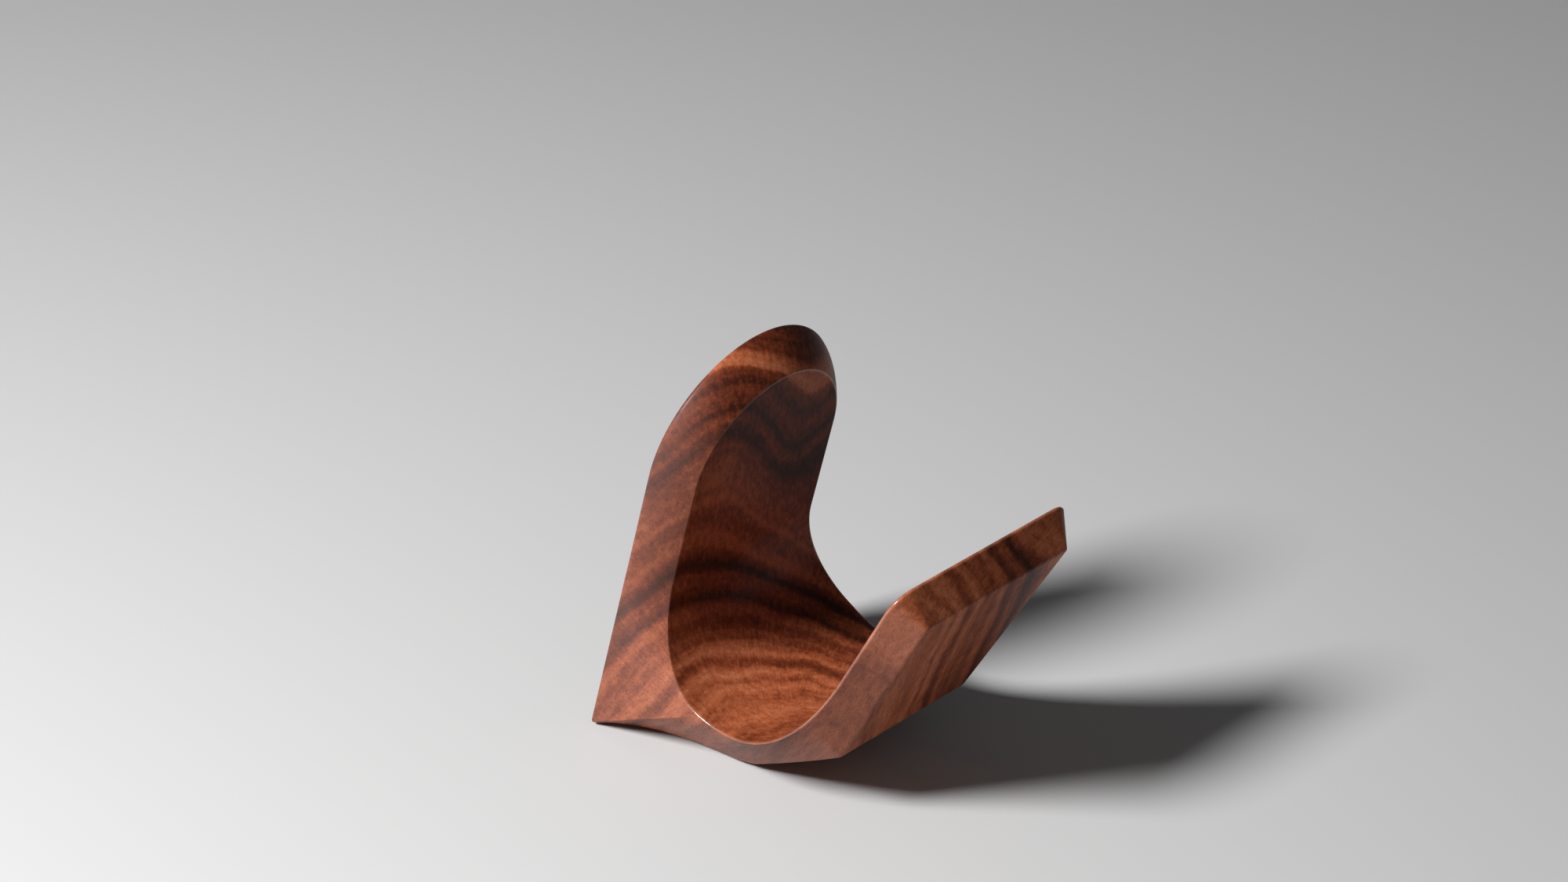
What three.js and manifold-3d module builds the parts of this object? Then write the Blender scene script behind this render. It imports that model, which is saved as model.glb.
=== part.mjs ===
// Magnetic phone stand: a J-shaped block of carved walnut with a ring of magnets set into its
// leaning front face. Millimetres, +Z up, Y across the stand, the phone on the -X side.
import * as THREE from 'three';
import { mergeVertices } from 'three/addons/utils/BufferGeometryUtils.js';
import Module from 'manifold-3d';

const wasm = await Module();
wasm.setup();

const RAD = Math.PI / 180;
const GAP = 0.3; // clearance between neighbouring pieces
const PAST = 1; // how far a cutter runs on past what it cuts

// ---- driving dimensions -------------------------------------------------------------------
const LEAN = 15.5 * RAD; // the front face leans back from upright by this much
const HALF_WIDTH = 33; // half the width of the block
const UPRIGHT_THICKNESS = 11; // between the front face and the scooped face
const PAD_PROUD = 0.6; // the base stands this far off the table on its pad

const ARCH_CENTRE = 86.3; // centre of the arched top, up the front face from the foot
const ARCH_RADIUS = HALF_WIDTH;
const BACK_ARCH_CENTRE = 85.5; // the same arch on the scooped face, which the bevel makes smaller
const BACK_ARCH_RADIUS = 26.4;
const CROWN = 1.7; // how full the bevel round the arch is: 1 is flat
const CROWN_AT_FOOT = 1.2;

const BELLY_X = 45.5; // where the flat base ends
const BELLY_ROUND = 5; // length of the soft corner on each side of the belly
const HEEL = new THREE.Vector2(81.4, 20.1); // corner between the belly flat and the arm
const TIP_OUTER = new THREE.Vector2(112, 71.3);
const TIP_INNER = new THREE.Vector2(106.9, 81.5);
const VALLEY_LOW = new THREE.Vector2(50.7, 17.7); // lowest point of the scoop
const ARM_ANGLE = 60.6 * RAD; // slope of the arm's inner face
const ARM_STRAIGHT = 36.2; // straight length of the arm's inner face
const SCOOP_START = 56.6; // height up the front face where the scooped face starts to curve
const UPRIGHT_PULL = 17.2; // how far the scoop's curve keeps to the direction it leaves in
const VALLEY_PULL_BACK = 20.7;
const VALLEY_PULL_ON = 15.7;
const ARM_PULL = 16.8;
const INNER_AT_FOOT = 39.5; // distances along the scoop that face the foot, the belly and the heel
const INNER_AT_BELLY = 55.6;
const INNER_AT_HEEL = 83;
const ARM_WIDENING = 1.2; // the scooped face is this much wider, each side, at the arm

const BASE_HALF_WIDTH = 19.3; // what the base narrows to under the belly
const BASE_NARROWING = 14; // how quickly it narrows behind the foot
const HEEL_HALF_WIDTH = 24;
const TIP_HALF_WIDTH = 27.2; // outer face at the arm's tip
const TIP_CORNER = 7; // plan radius of the tip's corners on the inner face
const TIP_CORNER_OUTER = 1;

const MAGNET_COUNT = 16;
const MAGNET_INNER_RADIUS = 22.9;
const MAGNET_OUTER_RADIUS = 26.6;
const MAGNET_SPACING = 0.33; // between neighbouring magnets, at their inner radius
const TRAY_RADIUS = 27.4;
const POCKET_DEPTH = 5.4;
const SCREW_COUNT = 3;
const SCREW_CIRCLE = 12; // radius of the circle that the screws stand on

// ---- materials ----------------------------------------------------------------------------
const walnut = new THREE.MeshStandardMaterial({ color: 0x6b3420, roughness: 0.45, metalness: 0 });
const rubber = new THREE.MeshStandardMaterial({ color: 0x1a1a1c, roughness: 0.85, metalness: 0 });
const leather = new THREE.MeshStandardMaterial({ color: 0x2c2624, roughness: 0.7, metalness: 0 });
const polymer = new THREE.MeshStandardMaterial({ color: 0x3a3b3d, roughness: 0.5, metalness: 0 });
const steel = new THREE.MeshStandardMaterial({ color: 0x9a9a98, roughness: 0.35, metalness: 1 });
const nickel = new THREE.MeshStandardMaterial({ color: 0xb4b2ac, roughness: 0.25, metalness: 1 });

// ---- helpers ------------------------------------------------------------------------------
function withoutCollapsed(indices) {
  const kept = [];
  for (let i = 0; i < indices.length; i += 3) {
    const [a, b, c] = indices.slice(i, i + 3);
    if (a !== b && b !== c && c !== a) kept.push(a, b, c);
  }
  return kept;
}

function toSolid(geometry) {
  const bare = new THREE.BufferGeometry();
  bare.setAttribute('position', geometry.getAttribute('position').clone());
  if (geometry.index) bare.setIndex(geometry.index.clone());
  const merged = mergeVertices(bare, 1e-4);
  return new wasm.Manifold(new wasm.Mesh({
    numProp: 3,
    vertProperties: new Float32Array(merged.getAttribute('position').array),
    triVerts: new Uint32Array(withoutCollapsed(Array.from(merged.index.array))),
  }));
}

function toGeometry(solid) {
  const mesh = solid.getMesh();
  const geometry = new THREE.BufferGeometry();
  geometry.setAttribute('position', new THREE.BufferAttribute(mesh.vertProperties, 3));
  geometry.setIndex(new THREE.BufferAttribute(mesh.triVerts, 1));
  geometry.computeVertexNormals();
  return geometry;
}

function named(name, geometry, material) {
  const mesh = new THREE.Mesh(geometry, material);
  mesh.name = name;
  return mesh;
}

// A turned solid on the Z axis, from [radius, z] points.
function turned(profile, segments) {
  const points = profile.map(([r, z]) => new THREE.Vector2(r, z));
  return new THREE.LatheGeometry(points, segments).rotateX(Math.PI / 2);
}

// ---- side view: points up the front face, and at a depth behind it ------------------------
function onFace(height, depth = 0) {
  const x = height * Math.sin(LEAN) + depth * Math.cos(LEAN);
  const z = height * Math.cos(LEAN) - depth * Math.sin(LEAN);
  return new THREE.Vector2(x, z + PAD_PROUD);
}

const FOOT = onFace(0);
const BELLY = new THREE.Vector2(BELLY_X, PAD_PROUD);

function towards(from, to, distance) {
  return from.clone().add(to.clone().sub(from).setLength(distance));
}

// Outer outline: down the front face, along the base, round the belly, up the flat and the arm.
function outerOutline() {
  const before = towards(BELLY, FOOT, BELLY_ROUND);
  const after = towards(BELLY, HEEL, BELLY_ROUND);
  const path = new THREE.CurvePath();
  path.add(new THREE.LineCurve(onFace(SCOOP_START), FOOT));
  path.add(new THREE.LineCurve(FOOT, before));
  path.add(new THREE.QuadraticBezierCurve(before, BELLY, after));
  path.add(new THREE.LineCurve(after, HEEL));
  path.add(new THREE.LineCurve(HEEL, TIP_OUTER));
  return path;
}

// Scooped outline: from the upright's back, through the valley, up the inside of the arm.
function scoopOutline() {
  const down = new THREE.Vector2(-Math.sin(LEAN), -Math.cos(LEAN));
  const alongArm = new THREE.Vector2(Math.cos(ARM_ANGLE), Math.sin(ARM_ANGLE));
  const start = onFace(SCOOP_START, UPRIGHT_THICKNESS);
  const armStart = TIP_INNER.clone().addScaledVector(alongArm, -ARM_STRAIGHT);
  const path = new THREE.CurvePath();
  path.add(new THREE.CubicBezierCurve(
    start,
    start.clone().addScaledVector(down, UPRIGHT_PULL),
    new THREE.Vector2(VALLEY_LOW.x - VALLEY_PULL_BACK, VALLEY_LOW.y),
    VALLEY_LOW,
  ));
  path.add(new THREE.CubicBezierCurve(
    VALLEY_LOW,
    new THREE.Vector2(VALLEY_LOW.x + VALLEY_PULL_ON, VALLEY_LOW.y),
    armStart.clone().addScaledVector(alongArm, -ARM_PULL),
    armStart,
  ));
  path.add(new THREE.LineCurve(armStart, TIP_INNER));
  return path;
}

// ---- the carved body: rings of points from the crest of the arch to the tip of the arm ----
const SIDE_STEPS = 10; // steps from the scooped edge to the outer edge on each side

// One ring: inner and outer are side-view points with half widths. The bevel between them goes
// reach deep, and the rest of the side is flat. crown is 1 for a flat bevel, and more for a full one.
function ring(inner, innerHalf, outer, outerHalf, crown = 1, reach = inner.distanceTo(outer)) {
  const side = [];
  const depth = inner.distanceTo(outer);
  for (let k = 0; k <= SIDE_STEPS; k += 1) {
    const f = k / SIDE_STEPS;
    const p = inner.clone().lerp(outer, f);
    const bevel = Math.max(0, 1 - (f * depth) / reach) ** crown;
    side.push(new THREE.Vector3(p.x, outerHalf - (outerHalf - innerHalf) * bevel, p.y));
  }
  const other = side.map((v) => new THREE.Vector3(v.x, -v.y, v.z)).reverse();
  return [...side, ...other];
}

function archRings(count) {
  const rings = [];
  for (let i = 0; i < count; i += 1) {
    const angle = (Math.PI / 2) * (1 - i / count);
    const inner = onFace(BACK_ARCH_CENTRE + BACK_ARCH_RADIUS * Math.sin(angle), UPRIGHT_THICKNESS);
    const outer = onFace(ARCH_CENTRE + ARCH_RADIUS * Math.sin(angle));
    const c = i === 0 ? 0 : Math.cos(angle);
    rings.push(ring(inner, BACK_ARCH_RADIUS * c, outer, ARCH_RADIUS * c, CROWN));
  }
  return rings;
}

function uprightRings(count) {
  const rings = [];
  for (let i = 0; i < count; i += 1) {
    const f = i / count;
    const inner = onFace(THREE.MathUtils.lerp(BACK_ARCH_CENTRE, SCOOP_START, f), UPRIGHT_THICKNESS);
    const outer = onFace(THREE.MathUtils.lerp(ARCH_CENTRE, SCOOP_START, f));
    rings.push(ring(inner, BACK_ARCH_RADIUS, outer, HALF_WIDTH, CROWN));
  }
  return rings;
}

// Half width of the outer outline behind the foot, by the distance along it.
function outerHalf(distance, marks) {
  const base = (x) => BASE_HALF_WIDTH + (HALF_WIDTH - BASE_HALF_WIDTH) * Math.exp(-x / BASE_NARROWING);
  if (distance <= marks.belly) return base(distance - marks.foot);
  const atBelly = base(marks.belly - marks.foot);
  if (distance <= marks.heel) {
    const f = (distance - marks.belly) / (marks.heel - marks.belly);
    return THREE.MathUtils.lerp(atBelly, HEEL_HALF_WIDTH, Math.sin(f * Math.PI / 2));
  }
  const f = (distance - marks.heel) / (marks.tip - marks.heel);
  return THREE.MathUtils.lerp(HEEL_HALF_WIDTH, TIP_HALF_WIDTH, f);
}

// Half width of the scooped outline: it opens out to the full block by where it faces the foot.
function innerHalf(distance) {
  const opening = THREE.MathUtils.smoothstep(distance, 0, INNER_AT_FOOT);
  const widening = THREE.MathUtils.smoothstep(distance, INNER_AT_FOOT, INNER_AT_HEEL);
  return THREE.MathUtils.lerp(BACK_ARCH_RADIUS, HALF_WIDTH, opening) + ARM_WIDENING * widening;
}

// Rings down to the foot, where the bevel narrows as the scooped face opens out.
function footRings(outer, inner, marks, innerMarks, count) {
  const slope = UPRIGHT_THICKNESS / (HALF_WIDTH - BACK_ARCH_RADIUS);
  const rings = [];
  for (let i = 0; i < count; i += 1) {
    const f = i / count;
    const n = innerMarks.foot * f;
    const half = innerHalf(n);
    rings.push(ring(
      inner.getPoint(n / innerMarks.tip), half,
      outer.getPoint((marks.foot * f) / marks.tip), HALF_WIDTH,
      THREE.MathUtils.lerp(CROWN, CROWN_AT_FOOT, f),
      slope * (HALF_WIDTH - half),
    ));
  }
  return rings;
}

// Rings from the foot to where the corners of the arm's tip begin.
function lowerRings(outer, inner, marks, innerMarks) {
  const bands = [
    { outer: [marks.foot, marks.belly], inner: [innerMarks.foot, innerMarks.belly], count: 12 },
    { outer: [marks.belly, marks.heel], inner: [innerMarks.belly, innerMarks.heel], count: 10 },
    {
      outer: [marks.heel, marks.tip - TIP_CORNER_OUTER],
      inner: [innerMarks.heel, innerMarks.tip - TIP_CORNER],
      count: 8,
    },
  ];
  const rings = [];
  for (const band of bands) {
    for (let i = 0; i < band.count; i += 1) {
      const o = THREE.MathUtils.lerp(...band.outer, i / band.count);
      const n = THREE.MathUtils.lerp(...band.inner, i / band.count);
      rings.push(ring(
        inner.getPoint(n / innerMarks.tip), innerHalf(n),
        outer.getPoint(o / marks.tip), outerHalf(o, marks),
      ));
    }
  }
  return rings;
}

// Rings round the tip's corners, the last of which is the rim of the end face.
function tipRings(outer, inner, marks, innerMarks, count) {
  const rings = [];
  for (let i = 0; i <= count; i += 1) {
    const angle = (Math.PI / 2) * (i / count);
    const n = innerMarks.tip - TIP_CORNER * (1 - Math.sin(angle));
    const o = marks.tip - TIP_CORNER_OUTER * (1 - Math.sin(angle));
    rings.push(ring(
      inner.getPoint(n / innerMarks.tip),
      HALF_WIDTH + ARM_WIDENING - TIP_CORNER * (1 - Math.cos(angle)),
      outer.getPoint(o / marks.tip),
      outerHalf(o, marks) - TIP_CORNER_OUTER * (1 - Math.cos(angle)),
    ));
  }
  return rings;
}

// A closed skin over the rings, with a flat cap across each end ring.
function skin(rings) {
  const size = rings[0].length;
  const half = size / 2;
  const positions = rings.flat().flatMap((v) => [v.x, v.y, v.z]);
  const indices = [];
  const quad = (a, b, c, d) => indices.push(a, c, b, a, d, c);
  for (let r = 0; r + 1 < rings.length; r += 1) {
    for (let k = 0; k < size; k += 1) {
      const next = (k + 1) % size;
      quad(r * size + k, r * size + next, (r + 1) * size + next, (r + 1) * size + k);
    }
  }
  const last = (rings.length - 1) * size;
  for (let k = 0; k + 1 < half; k += 1) {
    const across = size - 1 - k;
    quad(k, across, across - 1, k + 1);
    quad(last + k, last + k + 1, last + across - 1, last + across);
  }
  const geometry = new THREE.BufferGeometry();
  geometry.setAttribute('position', new THREE.Float32BufferAttribute(positions, 3));
  geometry.setIndex(indices);
  return geometry;
}

function carvedBlock() {
  const outer = outerOutline();
  const inner = scoopOutline();
  const [foot, base, corner, heel, tip] = outer.getCurveLengths();
  const marks = { foot, belly: (base + corner) / 2, heel, tip };
  const innerMarks = {
    foot: INNER_AT_FOOT,
    belly: INNER_AT_BELLY,
    heel: INNER_AT_HEEL,
    tip: inner.getLength(),
  };
  return skin([
    ...archRings(14),
    ...uprightRings(3),
    ...footRings(outer, inner, marks, innerMarks, 14),
    ...lowerRings(outer, inner, marks, innerMarks),
    ...tipRings(outer, inner, marks, innerMarks, 6),
  ]);
}

// ---- pieces in the front face: Z is out of the face, X up it, origin at the arch's centre --
const TRAY_TOP = -1.2;
const TRAY_BOTTOM = -POCKET_DEPTH + GAP;
const GROOVE_FLOOR = -4.2;
const STEEL_THICKNESS = 0.7;
const SCREW_HEAD_RADIUS = 2.6;
const SCREW_SHANK_RADIUS = 1.1;
const SCREW_HEAD_TOP = TRAY_TOP - GAP;
const SCREW_TIP = -8.6;
const SCREW_HOLE_SLACK = 0.45; // the tray's holes are wider than the screws by this much all round
const SOCKET_RADIUS = 1.15;
const SOCKET_DEPTH = 1;
const COVER_PROUD = 0.3; // the cover stands this far out of the front face
const COVER_CHAMFER = 0.3;

function screwCentres() {
  const centres = [];
  for (let i = 0; i < SCREW_COUNT; i += 1) {
    const angle = (2 * Math.PI * i) / SCREW_COUNT;
    centres.push(new THREE.Vector3(SCREW_CIRCLE * Math.cos(angle), SCREW_CIRCLE * Math.sin(angle), 0));
  }
  return centres;
}

function coverDisc() {
  return turned([
    [0, TRAY_TOP + GAP],
    [TRAY_RADIUS, TRAY_TOP + GAP],
    [TRAY_RADIUS, COVER_PROUD - COVER_CHAMFER],
    [TRAY_RADIUS - COVER_CHAMFER, COVER_PROUD],
    [0, COVER_PROUD],
  ], 64);
}

function magnetTray() {
  const disc = toSolid(turned([
    [0, TRAY_BOTTOM],
    [TRAY_RADIUS, TRAY_BOTTOM],
    [TRAY_RADIUS, TRAY_TOP],
    [MAGNET_OUTER_RADIUS + GAP, TRAY_TOP],
    [MAGNET_OUTER_RADIUS + GAP, GROOVE_FLOOR],
    [MAGNET_INNER_RADIUS - GAP, GROOVE_FLOOR],
    [MAGNET_INNER_RADIUS - GAP, TRAY_TOP],
    [0, TRAY_TOP],
  ], 64));
  const headRadius = SCREW_HEAD_RADIUS + GAP + SCREW_HOLE_SLACK;
  const shankRadius = SCREW_SHANK_RADIUS + SCREW_HOLE_SLACK;
  const coneEnd = TRAY_TOP - (headRadius - shankRadius);
  const hole = turned([
    [0, TRAY_BOTTOM - PAST],
    [shankRadius, TRAY_BOTTOM - PAST],
    [shankRadius, coneEnd],
    [headRadius, TRAY_TOP],
    [headRadius, TRAY_TOP + PAST],
    [0, TRAY_TOP + PAST],
  ], 24);
  let tray = disc;
  for (const centre of screwCentres()) {
    tray = tray.subtract(toSolid(hole.clone().translate(centre.x, centre.y, 0)));
  }
  return toGeometry(tray);
}

function steelRing() {
  const bottom = GROOVE_FLOOR + GAP;
  const top = bottom + STEEL_THICKNESS;
  return turned([
    [MAGNET_INNER_RADIUS, bottom],
    [MAGNET_OUTER_RADIUS, bottom],
    [MAGNET_OUTER_RADIUS, top],
    [MAGNET_INNER_RADIUS, top],
    [MAGNET_INNER_RADIUS, bottom],
  ], 64);
}

function magnet(index) {
  const pitch = (2 * Math.PI) / MAGNET_COUNT;
  const trim = MAGNET_SPACING / 2 / MAGNET_INNER_RADIUS;
  const from = pitch * index + trim;
  const to = pitch * (index + 1) - trim;
  const sector = new THREE.Shape();
  sector.absarc(0, 0, MAGNET_OUTER_RADIUS, from, to, false);
  sector.absarc(0, 0, MAGNET_INNER_RADIUS, to, from, true);
  sector.closePath();
  const bottom = GROOVE_FLOOR + GAP + STEEL_THICKNESS + GAP;
  const block = new THREE.ExtrudeGeometry(sector, {
    depth: TRAY_TOP - bottom,
    bevelEnabled: false,
    curveSegments: 4,
  });
  return block.translate(0, 0, bottom);
}

function screw() {
  const shaft = toSolid(turned([
    [0, SCREW_TIP],
    [SCREW_SHANK_RADIUS, SCREW_TIP + SCREW_SHANK_RADIUS],
    [SCREW_SHANK_RADIUS, SCREW_HEAD_TOP - (SCREW_HEAD_RADIUS - SCREW_SHANK_RADIUS)],
    [SCREW_HEAD_RADIUS, SCREW_HEAD_TOP],
    [0, SCREW_HEAD_TOP],
  ], 24));
  const socket = new THREE.CylinderGeometry(SOCKET_RADIUS, SOCKET_RADIUS, 2 * SOCKET_DEPTH, 6);
  socket.rotateX(Math.PI / 2);
  return toGeometry(shaft.subtract(toSolid(socket.translate(0, 0, SCREW_HEAD_TOP))));
}

function pocketCutters() {
  const radius = TRAY_RADIUS + GAP;
  const pocket = [[0, -POCKET_DEPTH], [radius, -POCKET_DEPTH], [radius, PAST], [0, PAST]];
  const cutters = [turned(pocket, 64)];
  const hole = SCREW_SHANK_RADIUS + GAP;
  for (const centre of screwCentres()) {
    const pilot = turned([[0, SCREW_TIP - GAP], [hole, SCREW_TIP - GAP], [hole, 0], [0, 0]], 24);
    cutters.push(pilot.translate(centre.x, centre.y, 0));
  }
  return cutters;
}

// ---- base pad: the outline of the base, drawn in by an inset -------------------------------
const PAD_FRONT = 3;
const PAD_BACK = BELLY_X - 1.2;
const PAD_INSET = 2.5;
const PAD_RECESS = 0.6; // how deep the pad's bed is cut into the base

function baseSheet(inset, bottom, top) {
  const steps = 8;
  const near = [];
  for (let i = 0; i <= steps; i += 1) {
    const x = THREE.MathUtils.lerp(PAD_FRONT + inset, PAD_BACK - inset, i / steps);
    const spread = (HALF_WIDTH - BASE_HALF_WIDTH) * Math.exp(-x / BASE_NARROWING);
    near.push(new THREE.Vector2(x, BASE_HALF_WIDTH + spread - PAD_INSET - inset));
  }
  const far = near.map((p) => new THREE.Vector2(p.x, -p.y)).reverse();
  const sheet = new THREE.ExtrudeGeometry(new THREE.Shape([...near, ...far]), {
    depth: top - bottom,
    bevelEnabled: false,
  });
  return sheet.translate(0, 0, bottom);
}

// ---- assembly -----------------------------------------------------------------------------
const facePieces = new THREE.Group();
const faceCentre = onFace(ARCH_CENTRE);
facePieces.position.set(faceCentre.x, 0, faceCentre.y);
facePieces.rotation.y = LEAN - Math.PI / 2;
facePieces.updateMatrixWorld(true);

function carvedBody() {
  let body = toSolid(carvedBlock());
  for (const cutter of pocketCutters()) {
    body = body.subtract(toSolid(cutter.applyMatrix4(facePieces.matrixWorld)));
  }
  return toGeometry(body.subtract(toSolid(baseSheet(0, -PAST, PAD_PROUD + PAD_RECESS))));
}

facePieces.add(named('cover_disc', coverDisc(), leather));
facePieces.add(named('magnet_tray', magnetTray(), polymer));
facePieces.add(named('steel_ring', steelRing(), steel));
for (let i = 0; i < MAGNET_COUNT; i += 1) {
  facePieces.add(named(`magnet_${String(i + 1).padStart(2, '0')}`, magnet(i), nickel));
}
screwCentres().forEach((centre, i) => {
  const piece = named(`tray_screw_${i + 1}`, screw(), steel);
  piece.position.copy(centre);
  facePieces.add(piece);
});

const group = new THREE.Group();
group.add(named('carved_body', carvedBody(), walnut));
group.add(named('base_pad', baseSheet(GAP, 0, PAD_PROUD + PAD_RECESS - GAP), rubber));
group.add(facePieces);

// The origin is on the table, under the middle of the stand.
const box = new THREE.Box3().setFromObject(group);
group.position.x = -(box.min.x + box.max.x) / 2;

export default group;
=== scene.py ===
"""Looks of a magnetic phone stand carved from one block of walnut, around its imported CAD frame."""

import math

import bmesh
import bpy
import numpy as np
from mathutils import Matrix, Vector


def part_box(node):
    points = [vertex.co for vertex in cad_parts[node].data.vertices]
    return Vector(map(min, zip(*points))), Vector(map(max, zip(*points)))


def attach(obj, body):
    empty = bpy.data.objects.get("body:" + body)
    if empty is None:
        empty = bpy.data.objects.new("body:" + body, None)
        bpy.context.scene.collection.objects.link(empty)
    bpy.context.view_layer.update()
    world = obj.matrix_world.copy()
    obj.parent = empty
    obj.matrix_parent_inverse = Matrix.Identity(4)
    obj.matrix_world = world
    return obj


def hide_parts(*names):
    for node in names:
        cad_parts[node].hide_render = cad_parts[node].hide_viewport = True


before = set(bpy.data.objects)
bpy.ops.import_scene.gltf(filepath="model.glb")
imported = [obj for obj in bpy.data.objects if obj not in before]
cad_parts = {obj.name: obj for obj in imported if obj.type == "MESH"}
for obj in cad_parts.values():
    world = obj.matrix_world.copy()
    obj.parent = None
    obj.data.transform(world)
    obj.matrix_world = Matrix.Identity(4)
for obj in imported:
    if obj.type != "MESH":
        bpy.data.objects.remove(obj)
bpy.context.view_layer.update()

MM = 0.001

# ---- driving dimensions, in millimetres, from the foot of the front face ---------------------
LEAN = math.radians(15.5)
HALF_WIDTH = 33.0
UPRIGHT_THICKNESS = 11.0
PAD_PROUD = 0.6  # how far the base pad holds the block off the table
ARCH_CENTRE = 86.3  # up the front face, as SCOOP_START is
ARCH_RADIUS = HALF_WIDTH
BACK_ARCH_CENTRE = 85.5
BACK_ARCH_RADIUS = 26.4
CROWN = 1.7  # how full the bevel round the arch is: 1 is flat
CROWN_AT_FOOT = 1.2
# Corners of the block in side view, as (x, z).
BELLY_X = 45.5
BELLY_ROUND = 5.0
HEEL = (81.4, 20.1)
TIP_OUTER = (112.0, 71.3)
TIP_INNER = (106.9, 81.5)
# The scoop is two curves, down to its lowest point and up to the straight of the arm. A pull is
# how far a curve's handle reaches.
VALLEY_LOW = (50.7, 17.7)
ARM_ANGLE = math.radians(60.6)
ARM_STRAIGHT = 36.2
SCOOP_START = 56.6
UPRIGHT_PULL = 17.2
VALLEY_PULL_BACK = 20.7
VALLEY_PULL_ON = 15.7
ARM_PULL = 16.8
# Distances down the scoop that pair with the block's outer corners.
INNER_AT_FOOT = 39.5
INNER_AT_BELLY = 55.6
INNER_AT_HEEL = 83.0
# Widths below the upright.
ARM_WIDENING = 1.2
BASE_HALF_WIDTH = 19.3
BASE_NARROWING = 14.0  # the base narrows from the foot over about this length
HEEL_HALF_WIDTH = 24.0
TIP_HALF_WIDTH = 27.2
TIP_CORNER = 7.0
TIP_CORNER_OUTER = 1.0

# The pocket in the front face, and the cover disc, measured out of the face.
TRAY_RADIUS = 27.4
POCKET_DEPTH = 5.4
POCKET_CHAMFER = 0.3
COVER_BOTTOM = -0.9
COVER_TOP = 0.3
COVER_EDGE = 0.5
SCREW_COUNT = 3
SCREW_CIRCLE = 12.0
PILOT_RADIUS = 1.4
PILOT_DEPTH = 8.9
GAP = 0.3  # clearance between neighbouring pieces

# The base pad.
PAD_FRONT = 3.0
PAD_BACK = BELLY_X - 1.2
PAD_INSET = 2.5  # how far its sides stay inside the base
PAD_CORNER = 2.5
PAD_RECESS = 0.6

# The finish of the block's edges.
OUTER_EDGE = 1.1  # radius of the sanded edges round the outside
RIM_EDGE = 0.6  # and round the scooped face
FACE_MARGIN = 0.3  # strip beside each edge that keeps the faces' shading flat
SLOPE_PROBE = 0.3  # how far from its ends a side's slope is read

# How fine the meshes are.
ARCH_RINGS = 48
UPRIGHT_RINGS = 16
FOOT_RINGS = 80
LOWER_RINGS = 60  # for each stretch from corner to corner
TIP_RINGS = 16
PROFILE_POINTS = 60
SIDE_STEPS = 22
EDGE_STEPS = 6
CORNER_STEPS = 8
TURNED_STEPS = 128
PAD_CURVE_POINTS = 24
PAD_EDGE_POINTS = 30

# The foot of the front face is the lowest, foremost corner of the block.
FOOT_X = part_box("carved_body")[0].x / MM


def in_frame(x, y, z):
    """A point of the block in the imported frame, in metres."""
    return Vector((x + FOOT_X, y, z)) * MM


# ---- side view --------------------------------------------------------------------------------
def on_face(height, depth=0.0):
    """A side-view point up the front face and behind it."""
    x = height * math.sin(LEAN) + depth * math.cos(LEAN)
    z = height * math.cos(LEAN) - depth * math.sin(LEAN)
    return np.array([x, z + PAD_PROUD])


def bezier(a, b, c, d, count=200):
    t = np.linspace(0, 1, count)[:, None]
    s = 1 - t
    return s**3 * a + 3 * s**2 * t * b + 3 * s * t**2 * c + t**3 * d


def towards(start, end, distance):
    start, end = np.asarray(start, float), np.asarray(end, float)
    return start + (end - start) * distance / np.linalg.norm(end - start)


def unit(vector):
    return vector / np.linalg.norm(vector)


def round_corner(before, corner, after, steps):
    """Points of a round that leaves before and reaches after, both heading for the corner."""
    weight = math.sqrt((1 - unit(before - corner) @ unit(after - corner)) / 2)
    t = np.linspace(0, 1, steps + 1)[:, None]
    shares = np.hstack([(1 - t) ** 2, 2 * t * (1 - t) * weight, t**2])
    return shares @ np.array([before, corner, after]) / shares.sum(1)[:, None]


class Line:
    """A line through points that knows distances along itself. Its marks name some of them."""

    def __init__(self, points):
        self.points = np.asarray(points, float)
        steps = np.linalg.norm(np.diff(self.points, axis=0), axis=1)
        self.distances = np.concatenate([[0], np.cumsum(steps)])
        self.length = self.distances[-1]
        self.marks = {}

    def at(self, distance):
        return np.array([np.interp(distance, self.distances, axis) for axis in self.points.T]).T


def outer_outline():
    """Down the front face, along the base and up the back of the arm."""
    foot = on_face(0)
    belly = np.array([BELLY_X, PAD_PROUD])
    heel = np.array(HEEL)
    start = on_face(SCOOP_START)
    near_foot = towards(foot, start, OUTER_EDGE), towards(foot, belly, OUTER_EDGE)
    near_heel = towards(heel, belly, OUTER_EDGE), towards(heel, TIP_OUTER, OUTER_EDGE)
    before = towards(belly, foot, BELLY_ROUND)
    after = towards(belly, heel, BELLY_ROUND)
    pieces = [
        [start],
        round_corner(near_foot[0], foot, near_foot[1], CORNER_STEPS),
        bezier(before, (before + 2 * belly) / 3, (after + 2 * belly) / 3, after),
        round_corner(near_heel[0], heel, near_heel[1], CORNER_STEPS),
        [TIP_OUTER],
    ]
    outline = Line(np.vstack(pieces))
    # a corner's mark is the middle of its round
    ends = np.cumsum([len(piece) for piece in pieces])
    for k, corner in enumerate(("foot", "belly", "heel")):
        middle = (ends[k] + ends[k + 1] - 1) // 2
        outline.marks[corner] = outline.distances[middle]
    outline.marks["tip"] = outline.length
    return outline


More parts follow.
